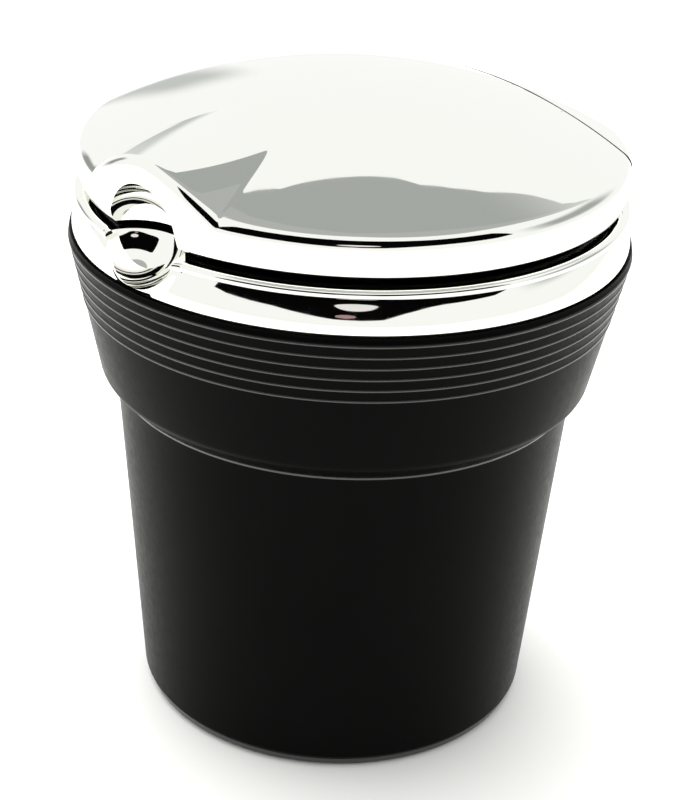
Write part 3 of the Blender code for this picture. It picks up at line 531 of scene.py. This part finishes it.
def make_lid(shape):
    low = shape.low - 2
    lid = link("lid_dome", lid_skin(shape))
    inside = hollow(shape, "lid_inside", low)
    cut(inside, ball("dish_wall", (0, -39.2, 82.08), 8.5, 64, 32))
    for side in (-1, 1):
        cut(inside, rod("post", 2.4, (side * 28.5, 2, 84.9), (side * 28.5, 2, 96)))
    cut(lid, inside)
    line = (HINGE_Y, HINGE_Z)
    cut(lid, block("rear_trim", (-60, HINGE_Y + 1.1, low), (60, 60, 110)))
    rear = cut(block("rear_round", (-30, HINGE_Y, HINGE_Z), (30, 50, 105)), roll(shape, "lid_roll", 0.0))
    cut(lid, rear)
    cut(lid, rod("slot", 1.6, (-5.0, *line), (5.0, *line)), )
    cut(lid, rod("pin_room", 1.3, (-9.6, *line), (9.6, *line)))
    cut(lid, block("channel", (-2.5, HINGE_Y - 6.2, HINGE_Z - 2), (2.5, HINGE_Y - 0.2, HINGE_Z + 1.45)))
    for side in (-1, 1):
        inner, outer = sorted((side * 5.0, side * 8.0))
        join(lid, rod("knuckle", 1.5, (inner, *line), (outer, *line)),
             block("web", (inner + 0.2, HINGE_Y - 3.4, HINGE_Z - 1.05),
                   (outer - 0.2, HINGE_Y, HINGE_Z + 1.1)))
    cut(lid, rod("pin_hole", 0.72, (-9, *line), (9, *line)))
    cut(lid, ball("thumb_dish", DISH_CENTRE, shape.dish_radius))
    for side in (-1, 1):
        cut(lid, rod("pilot", 1.4, (side * 28.5, 2, low), (side * 28.5, 2, shape.low + 7.8)))
    return done(lid, "lid", "chrome_plate", "lid_shell", sharp=24.0)


def make_cover(shape):
    bottom = 81.1
    arc = [(float(r), float(dome(shape, r))) for r in np.concatenate([[0.0], np.linspace(4, 37.95, 30)])]
    edge_z = float(dome(shape, shape.side_radius))
    start, corner = (37.95, arc[-1][1]), (shape.side_radius, edge_z)
    end = (shape.side_radius + 0.03, edge_z - 1.25)
    bend = [tuple(a * (1 - t) ** 2 + b * 2 * t * (1 - t) + c * t ** 2 for a, b, c in zip(start, corner, end))
            for t in np.linspace(0.125, 1, 8)]
    side = [(shape.side_radius, shape.low + 1.75), (shape.side_radius - 0.1, shape.low + 1.45),
            (shape.side_radius - 0.42, shape.low + 0.35), (shape.edge_radius, shape.low),
            (shape.edge_radius, bottom + 0.15), (shape.edge_radius - 0.15, bottom), (0.0, bottom)]
    cover = lathe("rear_cover", arc + bend + side, np.radians(np.arange(0, 360, 1.0)))
    inside = hollow(shape, "cover_inside", bottom - 2)
    for sign in (-1, 1):
        cut(inside, rod("post", 2.4, (sign * 17.8, HINGE_Y + 3, bottom - 4), (sign * 17.8, HINGE_Y + 3, 100)))
    cut(cover, inside)
    cut(cover, block("front_trim", (-60, -60, bottom - 2), (60, HINGE_Y + 1.6, 110)),
        roll(shape, "room", 0.5))
    for sign in (-1, 1):
        cut(cover, rod("pilot", 1.4, (sign * 17.8, HINGE_Y + 3, bottom - 5),
                       (sign * 17.8, HINGE_Y + 3, bottom + 4.2)))
    return done(cover, "top", "chrome_plate", "hinge_cover", sharp=24.0)


def make_ring(shape):
    """The chrome ring: bead, groove and flare, with the rim of the thumb dish standing proud of it."""
    turn = np.linspace(math.pi / 2, 0, 12)
    outline = [(shape.bead - 1.3 + 1.3 * math.cos(t), shape.top - 0.75 + 0.75 * math.sin(t)) for t in turn]
    turn = np.linspace(0, -1.0, 6)[1:]
    outline += [(shape.bead - 0.45 + 0.45 * math.cos(t), shape.top - 0.75 + 0.45 * math.sin(t)) for t in turn]
    # Under the bead the skin falls into a narrow groove, then flares out to the foot.
    outline += [(38.76, shape.top - 1.26), (38.72, shape.top - 1.34)]
    radius, height = 38.72, shape.top - 1.4
    slopes = np.interp(np.linspace(0, 1, 30), [0, 0.2, 0.64, 0.82, 1], [0.5, 0.38, 0.28, 0.13, 0.01])
    step = (height - shape.bottom) / len(slopes)
    outline.append((radius, height))
    for slope in slopes * (shape.radius - radius) / (slopes.sum() * step):
        radius, height = radius + slope * step, height - step
        outline.append((radius, height))
    profile = [(0.0, 79.2), (20.0, 79.2), (34.3, 79.2), (34.6, 79.3), (34.6, shape.top - 0.2),
               (34.8, shape.top)]
    profile += dense([(35.2, shape.top), outline[0]], 0.5)[:-1]
    profile += outline
    profile += [(36.9, shape.bottom), (36.9, 72.6), (36.0, 72.6), (36.0, 71.1), (36.9, 71.1), (36.9, 69.2),
                (36.6, 68.9), (35.0, 68.9), (35.0, 77.4), (0.0, 77.4)]
    rim = math.sqrt(max(shape_dish() ** 2 - (39.9 - 39.5) ** 2, 1))

    def lip(ring):
        """Raises the skin in a rounded rim round the dish."""
        away = np.hypot(ring[:, 0], ring[:, 2] - DISH_CENTRE[2])
        out = np.hypot(ring[:, 0], ring[:, 1])
        outside = (ring[:, 1] < 0) & (out > 37.2) & (ring[:, 2] > shape.bottom)
        rise = shape.lip_rise * np.exp(-((away - rim) / 0.75) ** 2) * outside
        room = np.clip((ring[:, 2] - shape.bottom) / 0.5, 0, 1)
        room = room * np.clip((shape.top - ring[:, 2]) / 0.3 + 0.6, 0, 1)
        scale = 1 + np.minimum(rise * room, np.maximum(40.58 - out, 0)) / np.maximum(out, 1)
        ring = ring.copy()
        ring[:, 0] *= scale
        ring[:, 1] *= scale
        return ring

    ring = lathe("chrome_bezel", profile, angles_round(), warp=lip)
    wall = ball("ring_dish_wall", (0, -39.2, 82.08), 8.6, 64, 32)
    keep = lathe("keep", [(0.0, shape.top), (38.0, shape.top), (38.0, 75.2), (0.0, 75.2)])
    join(ring, combine(wall, [keep], "INTERSECT"))
    for side in (-1, 1):
        join(ring, rod("boss", 2.6, (side * 7.8, 26.9, 73.4), (side * 7.8, 26.9, 78.0)))
    cut(ring, ball("ring_dish", DISH_CENTRE, shape_dish()))
    cut(ring, rod("funnel_hole", 21.7, (0, -6, 75), (0, -6, 83), 160))
    for x, y in ((-7.8, 26.9), (7.8, 26.9), (-17.8, 25.9), (17.8, 25.9)):
        cut(ring, rod("screw_hole", 1.4, (x, y, 71), (x, y, 83)))
    return done(ring, "top", "chrome_plate", "chrome_ring", sharp=28.0)


def shape_dish():
    return bpy.context.scene.ashtray_lid.dish_radius


def collar_at(shape, z):
    share = (z - shape.collar_low) / (shape.lip_height - shape.collar_low)
    return shape.collar_radius + (shape.lip_radius - shape.collar_radius) * share


def make_cup(shape):
    lip_in = shape.lip_radius - 2.35
    outer = [(shape.lip_radius - 0.05, shape.lip_height, 0.22),
             (collar_at(shape, shape.lip_height - 0.8), shape.lip_height - 0.8, 0.3),
             (shape.collar_radius, shape.collar_low, 2.4),
             (shape.wall_radius + 0.25, shape.collar_low - 2.35, 0.7),
             (shape.base_radius + 0.45, 2.0, 0.4), (shape.base_radius, 1.35, 0.3),
             (shape.base_radius - 0.2, 0.4, 0.2)]
    profile = [(0.0, 4.1), (27.0, 4.1), (27.4, 4.5), (31.5, shape.collar_low), (34.1, shape.collar_low),
               (lip_in, shape.lip_height - 0.1), (lip_in + 0.15, shape.lip_height)]
    profile += dense(fillet([profile[-1]] + outer + [(25.0, 0.4)], 8)[1:-1], 3.0)
    profile += [(25.0, 0.4), (25.0, 1.9), (0.0, 1.9)]
    cup = lathe("black_cup", profile, np.radians(np.arange(0, 360, 1.2)))
    done(cup, "cup", "black_plastic", "outer_cup", sharp=35.0)
    # The corner under the collar and the edge of the foot take the lighter, glossier copy of the PP: a
    # painted highlight, as on the raised lines.
    cup.data.materials.append(finish_for("painted_highlight"))
    for face in cup.data.polygons:
        height, out = face.center.z / MM, math.hypot(face.center.x, face.center.y) / MM
        if out > 27.5 and (abs(height - (shape.collar_low - 2.35)) < 0.75 or height < 1.6):
            face.material_index = 1
    return cup


def rib_tree():
    """Geometry Nodes: raised rings at an even pitch, shrinking with the collar's taper."""
    tree = bpy.data.node_groups.new("collar_ribs", "GeometryNodeTree")
    face = tree.interface
    face.new_socket("Geometry", in_out="OUTPUT", socket_type="NodeSocketGeometry")
    names = (("Count", "NodeSocketInt"), ("Pitch", "NodeSocketFloat"), ("Radius", "NodeSocketFloat"),
             ("Thickness", "NodeSocketFloat"), ("Taper", "NodeSocketFloat"),
             ("Material", "NodeSocketMaterial"))
    ids = {name: face.new_socket(name, in_out="INPUT", socket_type=kind).identifier for name, kind in names}
    start = tree.nodes.new("NodeGroupInput").outputs
    end = tree.nodes.new("NodeGroupOutput")
    drop = add(tree, "ShaderNodeMath", (-600, 200), {0: start["Pitch"]}, operation="MULTIPLY")
    drop.inputs[1].default_value = -1.0
    step = add(tree, "ShaderNodeCombineXYZ", (-400, 200), {"Z": drop.outputs[0]})
    line = add(tree, "GeometryNodeMeshLine", (-200, 200),
               {"Count": start["Count"], "Offset": step.outputs[0]})
    circle = add(tree, "GeometryNodeCurvePrimitiveCircle", (-400, 0), {"Radius": start["Radius"]},
                 Resolution=240)
    bead = add(tree, "GeometryNodeCurvePrimitiveCircle", (-400, -200), {"Radius": start["Thickness"]},
               Resolution=10)
    ring = add(tree, "GeometryNodeCurveToMesh", (-200, -100),
               {"Curve": circle.outputs["Curve"], "Profile Curve": bead.outputs["Curve"]})
    index = add(tree, "GeometryNodeInputIndex", (-600, -400))
    shrink = add(tree, "ShaderNodeMath", (-400, -400), {0: index.outputs[0], 1: start["Taper"]},
                 operation="MULTIPLY")
    left = add(tree, "ShaderNodeMath", (-200, -400), {1: shrink.outputs[0]}, operation="SUBTRACT")
    left.inputs[0].default_value = 1.0
    size = add(tree, "ShaderNodeCombineXYZ", (0, -400), {"X": left.outputs[0], "Y": left.outputs[0]}, Z=1.0)
    copies = add(tree, "GeometryNodeInstanceOnPoints", (100, 100),
                 {"Points": line.outputs["Mesh"], "Instance": ring.outputs["Mesh"], "Scale": size.outputs[0]})
    real = add(tree, "GeometryNodeRealizeInstances", (300, 100), {"Geometry": copies.outputs["Instances"]})
    paint = add(tree, "GeometryNodeSetMaterial", (500, 100),
                {"Geometry": real.outputs["Geometry"], "Material": start["Material"]})
    tree.links.new(paint.outputs["Geometry"], end.inputs["Geometry"])
    return tree, ids


def make_ribs(shape):
    top = shape.lip_height - 1.15
    thickness = 0.2
    radius = collar_at(shape, top) - thickness * 0.25
    taper = (radius - collar_at(shape, top - shape.rib_pitch) + thickness * 0.25) / radius
    mesh = bpy.data.meshes.new("collar_ribs")
    ribs = link("collar_ribs", mesh)
    tree, ids = rib_tree()
    nodes = ribs.modifiers.new("Ribs", "NODES")
    nodes.node_group = tree
    # the ribs take the lighter, glossier copy of the PP, a painted highlight along each raised line
    values = {"Count": shape.rib_count, "Pitch": shape.rib_pitch * MM, "Radius": radius * MM,
              "Thickness": thickness * MM, "Taper": taper, "Material": finish_for("painted_highlight")}
    for name, value in values.items():
        nodes[ids[name]] = value
    plain(ribs)
    ribs.data.transform(Matrix.Translation((0, 0, top * MM)))
    ribs.data.update()
    return done(ribs, "cup", "black_plastic", sharp=60.0, finish="painted_highlight")


def make_liner():
    profile = fillet([(0.0, 5.1), (26.3, 5.1, 1.2), (30.4, 54.4, 0.5), (33.2, 54.4, 0.3), (33.2, 53.7, 0.2),
                      (31.1, 53.7, 0.4), (27.0, 4.4, 1.5), (0.0, 4.4)], 6)
    liner = lathe("steel_liner", profile)
    return done(liner, "liner", "steel", "ash_liner", finish="drawn")


def make_funnel():
    profile = fillet([(7.6, 68.3, 0.2), (11.8, 68.3, 0.8), (19.8, 78.6, 1.5), (19.8, 82.3, 0.5),
                      (21.9, 82.3, 0.5), (21.9, 80.7, 0.4), (24.4, 80.7, 0.4), (24.4, 79.5), (21.3, 79.5),
                      (21.3, 77.3), (12.4, 66.5, 0.5),
                      (7.6, 66.5, 0.2)], 6)
    funnel = lathe("funnel_insert", profile, at=(0, -6), closed=True)
    for i in range(3):
        a = math.radians(90 + 120 * i)
        inner, outer = 18.2, 23.0
        ends = [(r * math.cos(a), r * math.sin(a) - 6, 83.1) for r in (inner, outer)]
        cut(funnel, rod("rest", 3.1, *ends, 96))
    return done(funnel, "top", "heat_plastic", "ash_funnel")


def make_sleeve():
    profile = fillet([(6.4, 69.4, 0.3), (10.8, 69.4, 0.2), (10.8, 68.6, 0.2), (7.2, 68.6), (7.2, 58.6, 0.2),
                      (6.4, 58.6, 0.2)], 5)
    sleeve = lathe("steel_sleeve", profile, at=(0, -6), closed=True)
    return done(sleeve, "top", "steel", "snuff_sleeve", finish="drawn")


def make_plate():
    profile = fillet([(0.0, 84.5), (36.8, 84.5, 0.4), (36.8, 81.1, 0.3), (35.4, 81.1, 0.3), (35.4, 82.9, 0.5),
                      (0.0, 82.9)], 5)
    plate = lathe("lid_liner", profile)
    cut(plate, block("chord", (-60, HINGE_Y - 3, 80), (60, 60, 86)))
    cut(plate, ball("dish_room", (0, -39.2, 82.08), 8.9, 96, 48))
    for x, y, r in ((-28.5, 2, 1.4), (28.5, 2, 1.4), (-23.6, -21, 1.1), (23.6, -21, 1.1)):
        cut(plate, rod("hole", r, (x, y, 81), (x, y, 86)))
    return done(plate, "lid", "black_plastic", "lid_plate")


def make_pad():
    profile = fillet([(0.0, 1.5), (24.7, 1.5, 0.2), (24.7, 0.0, 0.35), (21.0, 0.0, 0.1), (20.6, 0.45, 0.1),
                      (19.4, 0.45, 0.1), (19.0, 0.0, 0.1), (0.0, 0.0)], 4)
    pad = lathe("foot_pad", profile)
    return done(pad, "cup", "rubber", "base_pad")


def dress_nodes():
    """Materials for the small pieces that keep their CAD shape."""
    rubber = ("skirt_seal", "lid_seal", "lid_buffer_left", "lid_buffer_right")
    replaced = ("outer_cup", "base_pad", "ash_liner", "chrome_ring", "ash_funnel", "snuff_sleeve",
                "hinge_cover",
                "lid_shell", "lid_plate")
    for name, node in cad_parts.items():
        if name in replaced:
            continue
        finish = finish_for("rubber" if name in rubber else "steel")
        for slot in node.material_slots:
            slot.material = finish


# ---------------------------------------------------------------- studio

def glow(name, colour, edge="#FFFFFF"):
    """A stage material, the same from every side; where its shade falls to 0 it takes the edge colour."""
    made = bpy.data.materials.new(name)
    made.use_nodes = True
    tree = made.node_tree
    tree.nodes.clear()
    out = add(tree, "ShaderNodeOutputMaterial", (200, 0))
    shade = add(tree, "ShaderNodeAttribute", (-500, 0), attribute_name="shade")
    ramp = add(tree, "ShaderNodeValToRGB", (-300, 0), {"Fac": shade.outputs["Fac"]})
    ramp.color_ramp.elements[0].color = linear(edge)
    ramp.color_ramp.elements[1].color = linear(colour)
    light = add(tree, "ShaderNodeEmission", (0, 0), {"Color": ramp.outputs["Color"]}, Strength=1.0)
    tree.links.new(light.outputs[0], out.inputs["Surface"])
    return made


def sky_patch(name, outline, radius, material, fades=(0, 0, 0, 0), haze=None, centre=(0, 0, 0.085)):
    """Part of a big sphere round the object. The outline lists (bearing, lowest height, highest) in degrees.

    The fades are the share of it over which it pales, from its first bearing, its last, its foot and its top.
    Haze gives two heights in degrees: it pales from the second down to the first.
    """
    bearings, lows, highs = (np.array(column, float) for column in zip(*outline))
    across, up = 90, 16
    verts, faces, shades = [], [], []
    for j in range(up + 1):
        for i in range(across + 1):
            bearing = bearings[0] + (bearings[-1] - bearings[0]) * i / across
            low, high = np.interp(bearing, bearings, lows), np.interp(bearing, bearings, highs)
            a, e = math.radians(bearing), math.radians(low + (high - low) * j / up)
            verts.append((centre[0] + radius * math.cos(e) * math.sin(a),
                          centre[1] - radius * math.cos(e) * math.cos(a),
                          centre[2] + radius * math.sin(e)))
            shade = 1.0
            runs = [(i / across, fades[0]), (1 - i / across, fades[1]), (j / up, fades[2]),
                    (1 - j / up, fades[3])]
            if haze:
                runs.append((max(math.degrees(e) - haze[0], 0.0), haze[1] - haze[0]))
            for run, fade in runs:
                t = min(run / fade, 1.0) if fade else 1.0
                shade *= t * t * (3 - 2 * t)
            shades.append(shade)
    for j in range(up):
        for i in range(across):
            n = j * (across + 1) + i
            faces.append((n, n + 1, n + across + 2, n + across + 1))
    mesh = bpy.data.meshes.new(name)
    mesh.from_pydata(verts, [], faces)
    mesh.attributes.new("shade", "FLOAT", "POINT").data.foreach_set("value", shades)
    mesh.materials.append(material)
    obj = link(name, mesh)
    obj.visible_camera = False
    obj.visible_shadow = False
    obj.visible_diffuse = False
    return obj


def area(name, at, aim, size, power):
    lamp = bpy.data.lights.new(name, "AREA")
    lamp.shape = "DISK"
    lamp.size = size
    lamp.energy = power
    obj = bpy.data.objects.new(name, lamp)
    obj.location = at
    obj.rotation_euler = (Vector(aim) - Vector(at)).to_track_quat("-Z", "Y").to_euler()
    obj.visible_glossy = False
    bpy.context.scene.collection.objects.link(obj)
    return obj


def make_floor():
    half = 3.0
    mesh = bpy.data.meshes.new("floor")
    mesh.from_pydata([(-half, -half, 0), (half, -half, 0), (half, half, 0), (-half, half, 0)], [],
                     [(0, 1, 2, 3)])
    floor = link("floor", mesh)
    made, tree, shader, coords = new_material("white table", "#FAFAF7", 0.8, specular=0.0)
    mesh.materials.append(made)
    return floor


def make_studio(setup):
    make_floor()
    bpy.context.scene.view_settings.view_transform = "Standard"
    world = bpy.data.worlds.new("soft white")
    bpy.context.scene.world = world
    world.use_nodes = True
    back = world.node_tree.nodes["Background"]
    back.inputs["Color"].default_value = (1.0, 1.0, 1.0, 1.0)
    back.inputs["Strength"].default_value = 1.0
    sky_patch("dark_room", [(-9, 15, 42), (-4, 12.5, 45), (16, 12, 46), (26, 10.3, 46), (39, 8.1, 46),
                            (50, 7.8, 46), (58, 8.2, 46), (66, 11.7, 46), (74, 14, 46), (83, 15.6, 45),
                            (104, 16, 44), (112, 20, 42)],
              1.2, glow("dark room", "#060505"))
    window = [(48 + 8.5 * math.sin(t), 17.5 - 3.6 * abs(math.cos(t)), 17.5 + 3.6 * abs(math.cos(t)))
              for t in np.linspace(-math.pi / 2, math.pi / 2, 15)]
    sky_patch("window", window, 1.15, glow("window", "#EDE9EB"))
    low_window = [(44 + 4.0 * math.sin(t), 10.2 - 1.2 * abs(math.cos(t)), 10.2 + 1.2 * abs(math.cos(t)))
                  for t in np.linspace(-math.pi / 2, math.pi / 2, 11)]
    sky_patch("low_window", low_window, 1.15, glow("warm window", "#A98A8C"))
    sky_patch("grey_card", [(-186, 30, 89.9), (-181, 34, 89.9), (-175, 40, 89.9), (-171, 45, 89.9),
                            (-167, 51.5, 89.9), (-161, 55.3, 89.9), (-154, 58, 89.9), (-147, 58, 89.9),
                            (-134, 59.5, 89.9), (-127, 60, 89.9), (-114, 60.5, 89.9), (-108, 58.6, 89.9),
                            (-98, 57, 89.9)], 0.9, glow("grey card", "#A9ACAB", "#E2E3E1"),
              haze=(26, 56))
    sky_patch("grey_card_over", [(-98, 57, 89.9), (-78, 62, 89.9), (-55, 64, 89.9), (0, 66, 89.9),
                                 (52, 70, 89.9), (81, 66, 89.9), (110, 62, 89.9), (133, 59, 89.9),
                                 (144, 56, 89.9), (154, 52, 89.9), (166, 42, 89.9), (174, 30, 89.9)],
              0.9, glow("grey card over", "#B3B5B4", "#E2E3E1"),
              (0.0, 0.0, 0.03, 0.0), (26, 56))
    sky_patch("left_card", [(-99, -4, 19), (-76, -4, 19)], 0.92, glow("left card", "#9A9D9C"),
              (0.3, 0.3, 0.25, 0.35))
    sky_patch("crease_card", [(-128, -5, 16), (-117, -5, 16)], 0.93, glow("crease card", "#C6C9C7"),
              (0.4, 0.4, 0.15, 0.5))
    sky_patch("right_card", [(112, 6, 36), (180, 6, 36)], 0.94, glow("right card", "#A9ACAB"),
              (0.35, 0.3, 0.35, 0.35))
    area("key", (-0.35, 0.1, 1.0), (0, 0, 0.04), 1.3, 14.0)
    data = bpy.data.cameras.new("camera")
    data.sensor_width = 36.0
    data.sensor_fit = "HORIZONTAL"
    data.lens = setup.lens
    camera = bpy.data.objects.new("camera", data)
    place, target = Vector(setup.camera_at), Vector(setup.target)
    look = (target - place).to_track_quat("-Z", "Y").to_matrix()
    camera.matrix_world = Matrix.Translation(place) @ (look @ Matrix.Rotation(setup.roll, 3, "Z")).to_4x4()
    bpy.context.scene.collection.objects.link(camera)
    bpy.context.scene.camera = camera
    return camera


# ---------------------------------------------------------------- operators

class ASHTRAY_OT_lid(bpy.types.Operator):
    """Builds the chrome lid and its fixed rear cover"""
    bl_idname = "ashtray.lid"
    bl_label = "Lid"

    def execute(self, context):
        shape = context.scene.ashtray_lid
        make_lid(shape)
        make_cover(shape)
        make_plate()
        return {"FINISHED"}


class ASHTRAY_OT_ring(bpy.types.Operator):
    """Builds the chrome ring with its half of the thumb dish"""
    bl_idname = "ashtray.ring"
    bl_label = "Chrome ring"

    def execute(self, context):
        make_ring(context.scene.ashtray_ring)
        return {"FINISHED"}


class ASHTRAY_OT_cup(bpy.types.Operator):
    """Builds the black cup, its ribs, pad and liner"""
    bl_idname = "ashtray.cup"
    bl_label = "Cup"

    def execute(self, context):
        shape = context.scene.ashtray_cup
        make_cup(shape)
        make_ribs(shape)
        make_pad()
        make_liner()
        return {"FINISHED"}


class ASHTRAY_OT_inside(bpy.types.Operator):
    """Builds the ash funnel and snuffing sleeve, and dresses the small pieces"""
    bl_idname = "ashtray.inside"
    bl_label = "Inside"

    def execute(self, context):
        make_funnel()
        make_sleeve()
        dress_nodes()
        return {"FINISHED"}


class ASHTRAY_OT_studio(bpy.types.Operator):
    """Sets up the floor, light and camera"""
    bl_idname = "ashtray.studio"
    bl_label = "Studio"

    def execute(self, context):
        make_studio(context.scene.ashtray_studio)
        return {"FINISHED"}


class ASHTRAY_PT_panel(bpy.types.Panel):
    """Sidebar panel"""
    bl_idname = "ASHTRAY_PT_panel"
    bl_label = "Car ashtray bin"
    bl_space_type = "VIEW_3D"
    bl_region_type = "UI"
    bl_category = "Ashtray"

    def draw(self, context):
        for group in ("ashtray_lid", "ashtray_ring", "ashtray_cup", "ashtray_studio"):
            settings = getattr(context.scene, group)
            column = self.layout.column(align=True)
            for name in settings.__class__.__annotations__:
                column.prop(settings, name)
        for operator in OPERATORS:
            self.layout.operator(operator.bl_idname)


GROUPS = {"ashtray_lid": LidShape, "ashtray_ring": RingShape, "ashtray_cup": CupShape,
          "ashtray_studio": StudioSetup}
OPERATORS = (ASHTRAY_OT_cup, ASHTRAY_OT_ring, ASHTRAY_OT_inside, ASHTRAY_OT_lid, ASHTRAY_OT_studio)


def register():
    for group in (*GROUPS.values(), *OPERATORS, ASHTRAY_PT_panel):
        bpy.utils.register_class(group)
    for name, group in GROUPS.items():
        setattr(bpy.types.Scene, name, bpy.props.PointerProperty(type=group))


def unregister():
    for name in GROUPS:
        delattr(bpy.types.Scene, name)
    for group in (ASHTRAY_PT_panel, *reversed(OPERATORS), *reversed(list(GROUPS.values()))):
        bpy.utils.unregister_class(group)


def main():
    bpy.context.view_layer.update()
    register()
    for name in ("cup", "ring", "inside", "lid", "studio"):
        result = getattr(bpy.ops.ashtray, name)()
        if result != {"FINISHED"}:
            raise RuntimeError(f"{name} did not finish")


if __name__ == "__main__":
    main()
